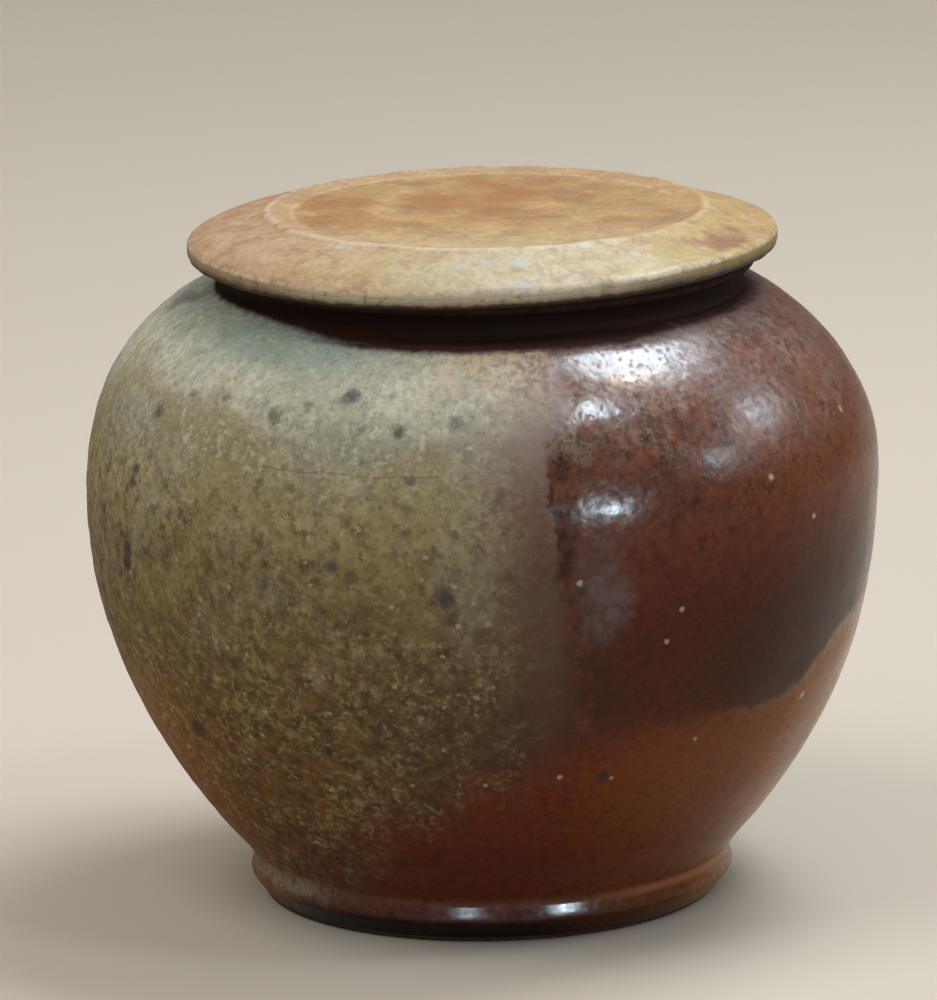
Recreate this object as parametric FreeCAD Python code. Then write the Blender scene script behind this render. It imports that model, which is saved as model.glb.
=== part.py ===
"""A lidded stoneware bean pot: a full round pot on a low trimmed foot, and a loose lid that lifts off.

Frame: millimetres, +Z up, the origin on the table at the centre of the foot.
Pot and lid are thrown on a wheel. Each is one closed outline, drawn in the half plane of radius and
height, and turned once round the Z axis.
"""

import FreeCAD, Part

import math
import os

# ------------------------------------------------------------------ driving dimensions, in mm
# The foot, from the table up
STANDING_RADIUS = 51.3       # outer edge of the ring that the pot stands on
STANDING_WIDTH = 7.0         # width of that ring
FOOT_RECESS = 2.6            # depth of the hollow trimmed out of the underside
RECESS_SLOPE = 3.0           # run of the slope between the standing ring and the hollow
FOOT_RADIUS = 55.4           # widest part of the foot band, which overhangs the standing ring
UNDERCUT_HEIGHT = 5.3        # height of the undercut below the foot band
BAND_HEIGHT = 4.5            # height of the foot band
BAND_LEAN = 1.2              # the band leans in by this much, up to the waist above it
FOOT_ROUND = 0.9             # softening of the foot's edges

# The belly and the shoulder
BELLY_RADIUS = 90.0          # the widest ring of the pot
BELLY_RISE = 85.0            # from the waist above the foot up to the widest ring
SHOULDER_RISE = 43.4         # from the widest ring up to the crisp edge at the foot of the neck
SHOULDER_LEDGE = 10.7        # from the mouth's wall out to that edge
FOOT_WALL_ANGLE = 51.5       # degrees above level, at which the wall leaves the foot
SHOULDER_ANGLE = 30.0        # degrees above level, at which the shoulder reaches its edge

# How full the thrown curves are: the length of each curve's handles, as a share of its rise or run
FOOT_FULLNESS = 0.324        # at the foot, of the belly's rise
LOWER_FULLNESS = 0.46        # below the widest ring, of the belly's rise
UPPER_FULLNESS = 0.63        # above the widest ring, of the shoulder's rise
SHOULDER_FULLNESS = 0.364    # at the shoulder's edge, of the run in from the widest ring

# The neck and the lip
MOUTH_RADIUS = 54.6          # the straight bore of the neck
NECK_HEIGHT = 9.8            # from the shoulder's edge up to the flat top of the lip
NECK_WALL = 4.9              # wall at the waist of the neck
COVE_HEIGHT = 3.9            # from the shoulder's edge up to the waist of the neck
LIP_WIDTH = 7.4              # across the lip
LIP_HEIGHT = 2.6             # the upright outer face of the lip
LIP_ROUND = 1.4              # softening of the lip's two edges

# The inside of the pot
WALL = 6.2                   # wall at the widest ring and at the shoulder's edge
THROAT_ROUND = 4.0           # rounding inside, where the shoulder turns up into the neck
FLOOR_THICKNESS = 8.4        # clay between the hollow underneath and the inside
FLOOR_RADIUS = 30.0          # the flat middle of the floor
FLOOR_FULLNESS = 0.44        # of the run from the flat middle out to the widest ring

# The lid
LID_CLEARANCE = 1.2          # gap all round between the lid's spigot and the mouth
SPIGOT_DEPTH = 7.4           # how far the spigot reaches down into the mouth
SPIGOT_WALL = 4.8            # wall of the spigot at its foot
SPIGOT_TAPER = 0.8           # each side of the spigot slopes by this much over its height
SPIGOT_ROUND = 1.2           # softening of the spigot's foot
CEILING_ROUND = 2.6          # rounding inside the spigot, where it meets the underside of the lid
LID_OVERHANG = 4.8           # how far the brim stands out past the lip
BRIM_THICKNESS = 4.5         # at the edge of the brim
BRIM_TOP_ROUND = 1.5         # softening of the brim's upper edge
BRIM_UNDER_ROUND = 2.0       # softening of its lower edge
BRIM_RISE = 4.8              # from the edge of the brim up to the foot of the ridge
RIDGE_INSET = 17.2           # from the edge of the brim in to the crest of the ridge
RIDGE_HEIGHT = 0.9           # crest of the ridge above its foot
RIDGE_SLOPE = 1.6            # run of the ridge's outer side
RIDGE_ROUND = 0.5            # softening of the crest
BEVEL_WIDTH = 5.4            # the sloping band inside the crest
BEVEL_DROP = 0.9             # how far that band falls towards the dish
DISH_DEPTH = 0.7             # how much deeper the dish is in the middle
DISH_FULLNESS = 0.4          # handles of the dish's curve, as a share of its radius
PLATE_THICKNESS = 6.0        # clay under the middle of the dish

QUARTER_PULL = 0.5523        # handle of a cubic curve that draws a quarter ellipse, of its radius
ROUND_LIMIT = 0.45           # the most of a straight stretch that one rounding may take

# ------------------------------------------------------------------ heights and radii that follow
WAIST_HEIGHT = UNDERCUT_HEIGHT + BAND_HEIGHT
WAIST_RADIUS = FOOT_RADIUS - BAND_LEAN
BELLY_HEIGHT = WAIST_HEIGHT + BELLY_RISE
LEDGE_HEIGHT = BELLY_HEIGHT + SHOULDER_RISE
LEDGE_RADIUS = MOUTH_RADIUS + SHOULDER_LEDGE
RIM_HEIGHT = LEDGE_HEIGHT + NECK_HEIGHT
LIP_RADIUS = MOUTH_RADIUS + LIP_WIDTH


# ------------------------------------------------------------------ drawing and turning
def at(radius, height):
    return FreeCAD.Vector(radius, 0, height)


def polar(length, degrees):
    """The (radius, height) offset of a length at an angle above level."""
    angle = math.radians(degrees)
    return length * math.cos(angle), length * math.sin(angle)


class Outline:
    """A closed outline in the half plane, drawn one stretch after another from a point on the axis."""

    def __init__(self, height):
        self.start = at(0, height)
        self.pen = self.start
        self.edges = []

    def draw(self, curve, end):
        self.edges.append(curve.toShape())
        self.pen = end

    def line(self, radius, height):
        end = at(radius, height)
        self.draw(Part.LineSegment(self.pen, end), end)

    def curve(self, first_pull, last_pull, end):
        """A smooth curve to end. Each pull is the offset of a handle from its end of the curve."""
        last = at(*end)
        bezier = Part.BezierCurve()
        bezier.setPoles([self.pen, self.pen + at(*first_pull), last + at(*last_pull), last])
        self.draw(bezier, last)

    def quarter(self, radius, height, starts_level):
        """A quarter of an ellipse, which starts level and ends upright or the other way round."""
        run = (radius - self.pen.x) * QUARTER_PULL
        rise = (height - self.pen.z) * QUARTER_PULL
        if starts_level:
            self.curve((run, 0), (0, -rise), (radius, height))
        else:
            self.curve((0, rise), (-run, 0), (radius, height))

    def corner(self, corner, reach, onward):
        """A straight stretch to a corner, rounded off for reach on both sides, that goes onward."""
        tip = at(*corner)
        back = self.pen - tip
        ahead = at(*onward) - tip
        reach = min(reach, ROUND_LIMIT * back.Length, ROUND_LIMIT * ahead.Length)
        half_angle = back.getAngle(ahead) / 2
        back.normalize()
        ahead.normalize()
        middle = (back + ahead).normalize() * (reach * (1 - math.sin(half_angle)) / math.cos(half_angle))
        first = tip + back * reach
        last = tip + ahead * reach
        self.line(first.x, first.z)
        self.draw(Part.Arc(first, tip + middle, last), last)

    def turned(self):
        """The solid that the outline makes when it is turned once round the axis."""
        self.draw(Part.LineSegment(self.pen, self.start), self.start)
        solid = Part.Face(Part.Wire(self.edges)).revolve(at(0, 0), at(0, 1), 360)
        if solid.Volume < 0:
            solid.reverse()
        return solid


# ------------------------------------------------------------------ the pot
def draw_foot(outline):
    """The hollow underneath, the standing ring, the undercut and the foot band up to the waist."""
    standing_inner = STANDING_RADIUS - STANDING_WIDTH
    standing_middle = (STANDING_RADIUS - STANDING_WIDTH / 2, 0)
    recess_edge = (standing_inner - RECESS_SLOPE, FOOT_RECESS)
    band_middle = (FOOT_RADIUS - BAND_LEAN / 2, UNDERCUT_HEIGHT + BAND_HEIGHT / 2)
    outline.corner(recess_edge, FOOT_ROUND, (standing_inner, 0))
    outline.corner((standing_inner, 0), FOOT_ROUND, standing_middle)
    outline.corner((STANDING_RADIUS, 0), FOOT_ROUND, (FOOT_RADIUS, UNDERCUT_HEIGHT))
    outline.corner((FOOT_RADIUS, UNDERCUT_HEIGHT), FOOT_ROUND, band_middle)
    outline.line(WAIST_RADIUS, WAIST_HEIGHT)


def draw_outer_wall(outline):
    """The wall swells from the waist to the belly and closes over the shoulder to its crisp edge."""
    out, down = polar((BELLY_RADIUS - LEDGE_RADIUS) * SHOULDER_FULLNESS, SHOULDER_ANGLE)
    outline.curve(
        polar(BELLY_RISE * FOOT_FULLNESS, FOOT_WALL_ANGLE),
        (0, -BELLY_RISE * LOWER_FULLNESS),
        (BELLY_RADIUS, BELLY_HEIGHT),
    )
    outline.curve((0, SHOULDER_RISE * UPPER_FULLNESS), (out, -down), (LEDGE_RADIUS, LEDGE_HEIGHT))


def draw_neck(outline):
    """A hollow cove above the shoulder's edge, then the lip with its flat top, then the bore."""
    lip_foot = RIM_HEIGHT - LIP_HEIGHT
    lip_middle = (MOUTH_RADIUS + LIP_WIDTH / 2, RIM_HEIGHT)
    bore_foot = LEDGE_HEIGHT
    outline.quarter(MOUTH_RADIUS + NECK_WALL, LEDGE_HEIGHT + COVE_HEIGHT, starts_level=True)
    outline.quarter(LIP_RADIUS, lip_foot, starts_level=False)
    outline.corner((LIP_RADIUS, RIM_HEIGHT), LIP_ROUND, lip_middle)
    outline.corner((MOUTH_RADIUS, RIM_HEIGHT), LIP_ROUND, (MOUTH_RADIUS, bore_foot))


def draw_inner_wall(outline):
    """Inside, the wall follows the outside at its own thickness, and sweeps round into the floor."""
    floor = FOOT_RECESS + FLOOR_THICKNESS
    inner_radius = BELLY_RADIUS - WALL
    # The shoulder's line, moved in by the wall, meets the bore of the neck at the throat
    wall_down, wall_in = polar(WALL, SHOULDER_ANGLE)
    shoulder_radius = LEDGE_RADIUS - wall_in
    shoulder_height = LEDGE_HEIGHT - wall_down
    throat_rise = (shoulder_radius - MOUTH_RADIUS) * math.tan(math.radians(SHOULDER_ANGLE))
    out, down = polar((inner_radius - shoulder_radius) * SHOULDER_FULLNESS, SHOULDER_ANGLE)
    outline.corner(
        (MOUTH_RADIUS, shoulder_height + throat_rise), THROAT_ROUND, (shoulder_radius, shoulder_height)
    )
    outline.line(shoulder_radius, shoulder_height)
    outline.curve(
        (out, -down),
        (0, (shoulder_height - BELLY_HEIGHT) * UPPER_FULLNESS),
        (inner_radius, BELLY_HEIGHT),
    )
    outline.curve(
        (0, (floor - BELLY_HEIGHT) * LOWER_FULLNESS),
        ((inner_radius - FLOOR_RADIUS) * FLOOR_FULLNESS, 0),
        (FLOOR_RADIUS, floor),
    )
    outline.line(0, floor)


def pot():
    outline = Outline(FOOT_RECESS)
    draw_foot(outline)
    draw_outer_wall(outline)
    draw_neck(outline)
    draw_inner_wall(outline)
    return outline.turned()


# ------------------------------------------------------------------ the lid
def lid():
    """A dished top inside a low ridge, a brim that slopes down past the lip, and a spigot below."""
    radius = LIP_RADIUS + LID_OVERHANG
    seat = RIM_HEIGHT
    brim_top = seat + BRIM_THICKNESS
    ridge_radius = radius - RIDGE_INSET
    ridge_foot = brim_top + BRIM_RISE
    crest = ridge_foot + RIDGE_HEIGHT
    dish_radius = ridge_radius - BEVEL_WIDTH
    dish_edge = crest - BEVEL_DROP
    dish_middle = dish_edge - DISH_DEPTH
    ceiling = dish_middle - PLATE_THICKNESS
    spigot_radius = MOUTH_RADIUS - LID_CLEARANCE
    spigot_foot = seat - SPIGOT_DEPTH
    foot_outer = spigot_radius - SPIGOT_TAPER
    foot_inner = foot_outer - SPIGOT_WALL
    foot_middle = (foot_outer - SPIGOT_WALL / 2, spigot_foot)
    ceiling_radius = foot_inner - SPIGOT_TAPER

    outline = Outline(dish_middle)
    # On top: the dish, the sloping band up to the crest, the ridge's outer side and the brim
    dish_pull = dish_radius * DISH_FULLNESS
    outline.curve((dish_pull, 0), (-dish_pull, 0), (dish_radius, dish_edge))
    outline.corner((ridge_radius, crest), RIDGE_ROUND, (ridge_radius + RIDGE_SLOPE, ridge_foot))
    outline.line(ridge_radius + RIDGE_SLOPE, ridge_foot)
    outline.corner((radius, brim_top), BRIM_TOP_ROUND, (radius, seat))
    outline.corner((radius, seat), BRIM_UNDER_ROUND, (spigot_radius, seat))
    # Underneath: the flat seat that rests on the lip, then the spigot and the ceiling inside it
    outline.line(spigot_radius, seat)
    outline.corner((foot_outer, spigot_foot), SPIGOT_ROUND, foot_middle)
    outline.corner((foot_inner, spigot_foot), SPIGOT_ROUND, (ceiling_radius, ceiling))
    outline.corner((ceiling_radius, ceiling), CEILING_ROUND, (0, ceiling))
    outline.line(0, ceiling)
    return outline.turned()


# ------------------------------------------------------------------ one file for each piece
PIECES = {"pot": pot, "lid": lid}

os.makedirs("parts", exist_ok=True)
for name, make in PIECES.items():
    shape = make()
    millilitres = round(shape.Volume / 1000, 1)
    print(f"{name}: {len(shape.Solids)} solid, valid {shape.isValid()}, {millilitres} ml of clay")
    shape.exportStep(f"parts/{name}.step")
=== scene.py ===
# %% [markdown]
# # A wood-ash glazed stoneware bean pot
# The pot and its loose lid are thrown on a wheel and glazed by the ash and flame of a wood kiln, so no
# two sides look alike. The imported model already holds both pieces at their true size, in metres, with +Z
# up and the front of the pot facing -Y. This lesson gives them the slightly uneven surface and the skin
# of a fired pot.

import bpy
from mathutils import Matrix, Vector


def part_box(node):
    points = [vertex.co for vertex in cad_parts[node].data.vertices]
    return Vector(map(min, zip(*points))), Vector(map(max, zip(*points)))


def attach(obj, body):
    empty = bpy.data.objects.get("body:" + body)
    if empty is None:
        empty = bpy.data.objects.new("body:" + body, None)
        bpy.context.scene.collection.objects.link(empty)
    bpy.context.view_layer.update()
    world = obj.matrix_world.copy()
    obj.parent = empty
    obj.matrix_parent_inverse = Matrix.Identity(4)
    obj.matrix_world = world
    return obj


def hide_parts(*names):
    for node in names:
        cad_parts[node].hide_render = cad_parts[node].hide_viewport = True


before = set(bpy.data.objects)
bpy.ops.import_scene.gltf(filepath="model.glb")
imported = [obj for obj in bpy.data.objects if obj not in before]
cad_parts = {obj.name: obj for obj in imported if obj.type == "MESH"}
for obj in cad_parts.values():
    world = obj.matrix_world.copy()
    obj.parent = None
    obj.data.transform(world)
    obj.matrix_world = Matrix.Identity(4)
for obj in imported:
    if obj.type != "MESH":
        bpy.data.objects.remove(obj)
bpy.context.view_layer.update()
print("packed pieces:", sorted(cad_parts))

# %% [markdown]
# ## The camera
# A long lens from nearly two metres shows the pot with hardly any perspective, so its proportions can be
# judged. The camera stands a little above the lid, to look into the dish, and leans by one degree. It
# comes first, so that everything that follows is judged through it.

# %% Camera
import math

import bpy
from mathutils import Matrix, Vector

MM = 0.001
CAMERA_DISTANCE = 1850 * MM      # level distance from the pot's axis
CAMERA_TILT = math.radians(12.8)
CAMERA_ROLL = math.radians(-1.05)
CAMERA_SIDE = -3.65 * MM         # the camera's place left of the axis
AIM_HEIGHT = 90 * MM
LENS = 299.8                     # millimetres, on Blender's 36 mm sensor
NEAREST, FURTHEST = 0.1, 20      # metres that the camera sees

scene = bpy.context.scene
camera = bpy.data.objects.new("camera", bpy.data.cameras.new("camera"))
camera.data.lens = LENS
camera.data.clip_start = NEAREST
camera.data.clip_end = FURTHEST
camera_height = AIM_HEIGHT + CAMERA_DISTANCE * math.tan(CAMERA_TILT)
stand = Vector((CAMERA_SIDE, -CAMERA_DISTANCE, camera_height))
tilted = Matrix.Rotation(math.pi / 2 - CAMERA_TILT, 4, "X") @ Matrix.Rotation(CAMERA_ROLL, 4, "Z")
camera.matrix_world = Matrix.Translation(stand) @ tilted
scene.collection.objects.link(camera)
scene.camera = camera
print(f"the camera stands {stand.z:.3f} m high")

# %% [markdown]
# ## Drawing half a pot
# A potter judges a pot by its profile, and so does a lathe tool: the whole shape is one outline, turned
# once round the wheel's axis. The outline is drawn in millimetres of radius and height, as long smooth
# curves with small roundings between them, and its points are close together wherever the glaze needs
# fine relief.

# %% An outline that is drawn stretch by stretch
from mathutils.geometry import interpolate_bezier

BARE, GLAZED, INSIDE = 0.0, 1.0, -1.0        # the skin of each part of an outline
ROUND_HANDLE = 0.55              # how far a rounding's handles reach towards its corner
ROUND_POINTS = 4


def at(radius, height):
    return Vector((radius * MM, 0, height * MM))


def sloping(length, degrees):
    """The radius and height that a length covers at an angle above level."""
    angle = math.radians(degrees)
    return length * math.cos(angle), length * math.sin(angle)


class Outline:
    """Points from the axis underneath a piece, round its outside, to the axis again."""

    def __init__(self, height, pitch, skin):
        self.points = [at(0, height)]
        self.skins = [skin]
        self.pitch = pitch
        self.skin = skin

    def add(self, points):
        self.points += points[1:]
        self.skins += [self.skin] * (len(points) - 1)

    def curve(self, pull, last_pull, radius, height):
        """Each pull is the offset of a handle from its end of the curve."""
        start = self.points[-1]
        end = at(radius, height)
        count = max(2, round((end - start).length / (self.pitch * MM)) + 1)
        handles = start + at(*pull), end + at(*last_pull)
        self.add(interpolate_bezier(start, *handles, end, count))

    def line(self, radius, height):
        third = (at(radius, height) - self.points[-1]) / (3 * MM)
        self.curve((third.x, third.z), (-third.x, -third.z), radius, height)

    def corner(self, place, reach, onward):
        """A straight stretch to a corner, which is rounded off, on the way to another point."""
        tip = at(*place)
        before = tip + (self.points[-1] - tip).normalized() * reach * MM
        after = tip + (at(*onward) - tip).normalized() * reach * MM
        self.line(before.x / MM, before.z / MM)
        pull = (tip - before) * ROUND_HANDLE
        last_pull = (tip - after) * ROUND_HANDLE
        self.add(interpolate_bezier(before, before + pull, after + last_pull, after, ROUND_POINTS))


# %% [markdown]
# ## The pot's outline
# Under the pot is a shallow trimmed hollow and the ring that it stands on. The foot band flares over an
# undercut, the belly swells and closes again to a crisp edge, and a hollow neck carries the lip that the
# lid sits on. Long Bezier curves draw the wall, because a thrown wall has no straight stretch and no
# kink.

# %% Pot outline
FINE = 1.15                      # spacing of the outline's points in mm, where the surface gets relief
COARSE = 4.0                     # and where it stays plain

BELLY_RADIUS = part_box("pot")[1].x / MM
BELLY_HEIGHT = 94.8
RIM_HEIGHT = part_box("pot")[1].z / MM
FOOT_RECESS = 2.6                # depth of the hollow under the foot
RECESS_SLOPE = 3.0               # how far the side of that hollow runs inwards
STANDING_RADIUS = 51.3
STANDING_WIDTH = 7.0
FOOT_RADIUS = 55.4               # the foot band flares to here
UNDERCUT_HEIGHT = 5.3
WAIST_RADIUS = 54.2              # the belly starts here, above the foot band
WAIST_HEIGHT = 9.8
LEDGE_RADIUS = 65.3              # the crisp edge of the shoulder
LEDGE_HEIGHT = 138.2
NECK_RADIUS = 59.5               # the neck is narrowest here
NECK_HEIGHT = 142.1
LIP_RADIUS = 62.0
LIP_HEIGHT = 2.6
MOUTH_RADIUS = 54.6
FOOT_ANGLE = 51.5                # degrees above level, where the wall leaves the waist
SHOULDER_ANGLE = 30.0            # and where it reaches the ledge
TRIMMED = 0.9                    # how far each trimmed corner of the foot is rounded, in mm
LIP_ROUND = 1.1
WAIST_PULL, LOW_BELLY_PULL = 0.324, 0.46     # handles of the wall's curves, as shares of their rise or run
HIGH_BELLY_PULL, LEDGE_PULL = 0.63, 0.364
QUARTER = 0.5523                 # handle of a quarter of an ellipse

pot_line = Outline(FOOT_RECESS, COARSE, BARE)
standing_inner = STANDING_RADIUS - STANDING_WIDTH
pot_line.corner((standing_inner - RECESS_SLOPE, FOOT_RECESS), TRIMMED, (standing_inner, 0))
pot_line.corner((standing_inner, 0), TRIMMED, (STANDING_RADIUS, 0))
pot_line.pitch = FINE
pot_line.corner((STANDING_RADIUS, 0), TRIMMED, (FOOT_RADIUS, UNDERCUT_HEIGHT))
pot_line.skin = GLAZED
pot_line.corner((FOOT_RADIUS, UNDERCUT_HEIGHT), TRIMMED, (WAIST_RADIUS, WAIST_HEIGHT))
pot_line.line(WAIST_RADIUS, WAIST_HEIGHT)

belly_rise = BELLY_HEIGHT - WAIST_HEIGHT
waist_pull = sloping(WAIST_PULL * belly_rise, FOOT_ANGLE)
pot_line.curve(waist_pull, (0, -LOW_BELLY_PULL * belly_rise), BELLY_RADIUS, BELLY_HEIGHT)
shoulder_rise = LEDGE_HEIGHT - BELLY_HEIGHT
out, down = sloping(LEDGE_PULL * (BELLY_RADIUS - LEDGE_RADIUS), SHOULDER_ANGLE)
pot_line.curve((0, HIGH_BELLY_PULL * shoulder_rise), (out, -down), LEDGE_RADIUS, LEDGE_HEIGHT)

neck_run = NECK_RADIUS - LEDGE_RADIUS
neck_rise = NECK_HEIGHT - LEDGE_HEIGHT
lip_foot = RIM_HEIGHT - LIP_HEIGHT
lip_run = LIP_RADIUS - NECK_RADIUS
lip_rise = lip_foot - NECK_HEIGHT
pot_line.curve((neck_run * QUARTER, 0), (0, -neck_rise * QUARTER), NECK_RADIUS, NECK_HEIGHT)
pot_line.curve((0, lip_rise * QUARTER), (-lip_run * QUARTER, 0), LIP_RADIUS, lip_foot)
pot_line.corner((LIP_RADIUS, RIM_HEIGHT), LIP_ROUND, (MOUTH_RADIUS, RIM_HEIGHT))
print("the outside of the pot has", len(pot_line.points), "points")

# %% [markdown]
# ## The inside of the pot
# A good thrower keeps the wall at one thickness, so the inside follows the outside a wall's width away,
# from the throat under the lip down to a flat floor. It stays plain, so its points may be further apart.

# %% Inside of the pot
WALL = 6.2
FLOOR_HEIGHT = 11.0
FLOOR_RADIUS = 30.0              # the floor is flat out to here
MOUTH_ROUND = 1.4
THROAT_ROUND = 3.2
FLOOR_PULL = 0.44

pot_line.skin = BARE
pot_line.corner((MOUTH_RADIUS, RIM_HEIGHT), MOUTH_ROUND, (MOUTH_RADIUS, LEDGE_HEIGHT))
pot_line.pitch = COARSE
pot_line.skin = INSIDE
wall_down, wall_in = sloping(WALL, SHOULDER_ANGLE)
inner_ledge_radius = LEDGE_RADIUS - wall_in
inner_ledge_height = LEDGE_HEIGHT - wall_down
throat_rise = (inner_ledge_radius - MOUTH_RADIUS) * math.tan(math.radians(SHOULDER_ANGLE))
throat = (MOUTH_RADIUS, inner_ledge_height + throat_rise)
pot_line.corner(throat, THROAT_ROUND, (inner_ledge_radius, inner_ledge_height))
pot_line.line(inner_ledge_radius, inner_ledge_height)

inner_radius = BELLY_RADIUS - WALL
out, down = sloping(LEDGE_PULL * (inner_radius - inner_ledge_radius), SHOULDER_ANGLE)
inner_rise = inner_ledge_height - BELLY_HEIGHT
pot_line.curve((out, -down), (0, HIGH_BELLY_PULL * inner_rise), inner_radius, BELLY_HEIGHT)
inner_fall = BELLY_HEIGHT - FLOOR_HEIGHT
floor_pull = (FLOOR_PULL * (inner_radius - FLOOR_RADIUS), 0)
pot_line.curve((0, -LOW_BELLY_PULL * inner_fall), floor_pull, FLOOR_RADIUS, FLOOR_HEIGHT)
pot_line.line(0, FLOOR_HEIGHT)
print("the pot's whole outline has", len(pot_line.points), "points")

# %% [markdown]
# ## The lid's outline
# The lid starts underneath, in the middle of its ceiling. The spigot drops into the mouth, the flat seat
# rests on the lip, and the brim stands out past it. On top, a low ridge with a sloping band inside it
# frames a shallow dish.

# %% Lid outline
LID_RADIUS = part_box("lid")[1].x / MM
CREST_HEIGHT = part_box("lid")[1].z / MM + 0.1     # its rounding lowers it again
CREST_RADIUS = 49.6
CREST_ROUND = 0.9
SPIGOT_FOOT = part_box("lid")[0].z / MM
SPIGOT_FOOT_RADIUS = 52.6
SPIGOT_TOP_RADIUS = 53.4
SPIGOT_WALL = 4.8
SPIGOT_ROUND = 1.2
CEILING = 150.6                  # height of the underside, inside the spigot
CEILING_SLOPE = 0.8              # how much narrower the spigot's inside is at the ceiling
CEILING_ROUND = 2.6
SEAT_REACH = 1                   # how far the bare seat runs past the lip
BRIM_TOP = 152.5                 # the brim's upper edge
BRIM_ROUND, UNDER_BRIM_ROUND = 1.3, 1.8
RIDGE_FOOT_RADIUS = 51.2
RIDGE_FOOT = 157.3
DISH_RADIUS = 44.2
DISH_EDGE = 157.3
DISH_MIDDLE = 156.6
DISH_PULL = 0.4                  # handles of the dish's curve, as a share of its radius

lid_line = Outline(CEILING, 3.0, INSIDE)
spigot_inner = SPIGOT_FOOT_RADIUS - SPIGOT_WALL
lid_line.corner((spigot_inner - CEILING_SLOPE, CEILING), CEILING_ROUND, (spigot_inner, SPIGOT_FOOT))
lid_line.skin = BARE
lid_line.corner((spigot_inner, SPIGOT_FOOT), SPIGOT_ROUND, (SPIGOT_FOOT_RADIUS, SPIGOT_FOOT))
lid_line.corner((SPIGOT_FOOT_RADIUS, SPIGOT_FOOT), SPIGOT_ROUND, (SPIGOT_TOP_RADIUS, RIM_HEIGHT))
lid_line.line(SPIGOT_TOP_RADIUS, RIM_HEIGHT)
lid_line.line(LIP_RADIUS + SEAT_REACH, RIM_HEIGHT)
lid_line.pitch = 0.8
lid_line.skin = GLAZED
lid_line.corner((LID_RADIUS, RIM_HEIGHT), UNDER_BRIM_ROUND, (LID_RADIUS, BRIM_TOP))
lid_line.corner((LID_RADIUS, BRIM_TOP), BRIM_ROUND, (RIDGE_FOOT_RADIUS, RIDGE_FOOT))
lid_line.line(RIDGE_FOOT_RADIUS, RIDGE_FOOT)
lid_line.pitch = 0.5
lid_line.corner((CREST_RADIUS, CREST_HEIGHT), CREST_ROUND, (DISH_RADIUS, DISH_EDGE))
lid_line.pitch = 0.9
lid_line.line(DISH_RADIUS, DISH_EDGE)
lid_line.pitch = 1.8
lid_line.curve((-DISH_PULL * DISH_RADIUS, 0), (DISH_PULL * DISH_RADIUS, 0), 0, DISH_MIDDLE)
print("the lid's outline has", len(lid_line.points), "points")

# %% [markdown]
# ## Turning an outline
# Spin is Blender's potter's wheel. It is much quicker to spin one narrow wedge and to repeat that wedge
# than to spin the whole circle in small steps. The seams between wedges, and the many copies of the two
# points that lie on the axis, are then merged. Each point of the outline carries its skin, 1 on the
# glazed outside, 0 on bare clay and -1 on the inside, and the spin copies it all the way round, for the
# relief and for the glazes.

# %% Turning and finding one's place
import bmesh

SKIN = "skin"
SAME_PLACE = 1e-6                # metres within which points are merged


def turned(outline, wedges, steps):
    """A bmesh of the outline spun into one narrow wedge, and the wedge repeated all the way round."""
    shape = bmesh.new()
    skin = shape.verts.layers.float.new(SKIN)
    chain = []
    for point, kind in zip(outline.points, outline.skins):
        vertex = shape.verts.new(point)
        vertex[skin] = kind
        chain.append(vertex)
    edges = [shape.edges.new(pair) for pair in zip(chain, chain[1:])]
    wheel = {"cent": (0, 0, 0), "axis": (0, 0, 1), "dvec": (0, 0, 0)}
    wedge = math.tau / wedges
    bmesh.ops.spin(shape, geom=chain + edges, angle=wedge, steps=steps, **wheel)
    whole = shape.verts[:] + shape.edges[:] + shape.faces[:]
    rest = math.tau - wedge
    bmesh.ops.spin(shape, geom=whole, angle=rest, steps=wedges - 1, use_duplicate=True, **wheel)
    bmesh.ops.remove_doubles(shape, verts=shape.verts, dist=SAME_PLACE)
    bmesh.ops.recalc_face_normals(shape, faces=shape.faces)
    shape.normal_update()
    return shape


def turn_of(place):
    """Degrees round the pot: 0 at the front, growing towards +X."""
    return math.degrees(math.atan2(place.x, -place.y))


def between(value, low, high):
    """0 at low, 1 at high and a smooth rise between them, also where low is the larger."""
    share = min(1, max(0, (value - low) / (high - low)))
    return share * share * (3 - 2 * share)


def finished(shape, name, material, body, node):
    """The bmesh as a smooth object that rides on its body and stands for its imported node."""
    for face in shape.faces:
        face.smooth = True
    mesh = bpy.data.meshes.new(name)
    shape.to_mesh(mesh)
    shape.free()
    mesh.materials.append(material)
    piece = bpy.data.objects.new(name, mesh)
    scene.collection.objects.link(piece)
    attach(piece, body)
    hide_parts(node)
    print(name, "has", 2 * len(mesh.polygons), "triangles at most")


# %% [markdown]
# ## A kit for glazes
# Every finish here is a network of nodes over Object coordinates, so a pattern stays where it is on the
# clay when the lid is lifted. Masks between 0 and 1 say where a tint lies, by height in mm, by the turn
# round the pot in degrees and by noise, and one tint after another is laid over the colour. Nodes could
# be placed by hand.

# %% Glaze kit
def srgb(red, green, blue):
    """A colour as a painter reads it off a chart, 0 to 255, in the linear values that Blender mixes."""
    linear = []
    for value in (red, green, blue):
        share = value / 255
        linear.append(share / 12.92 if value < 11 else ((share + 0.055) / 1.055) ** 2.4)
    return (*linear, 1)


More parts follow.
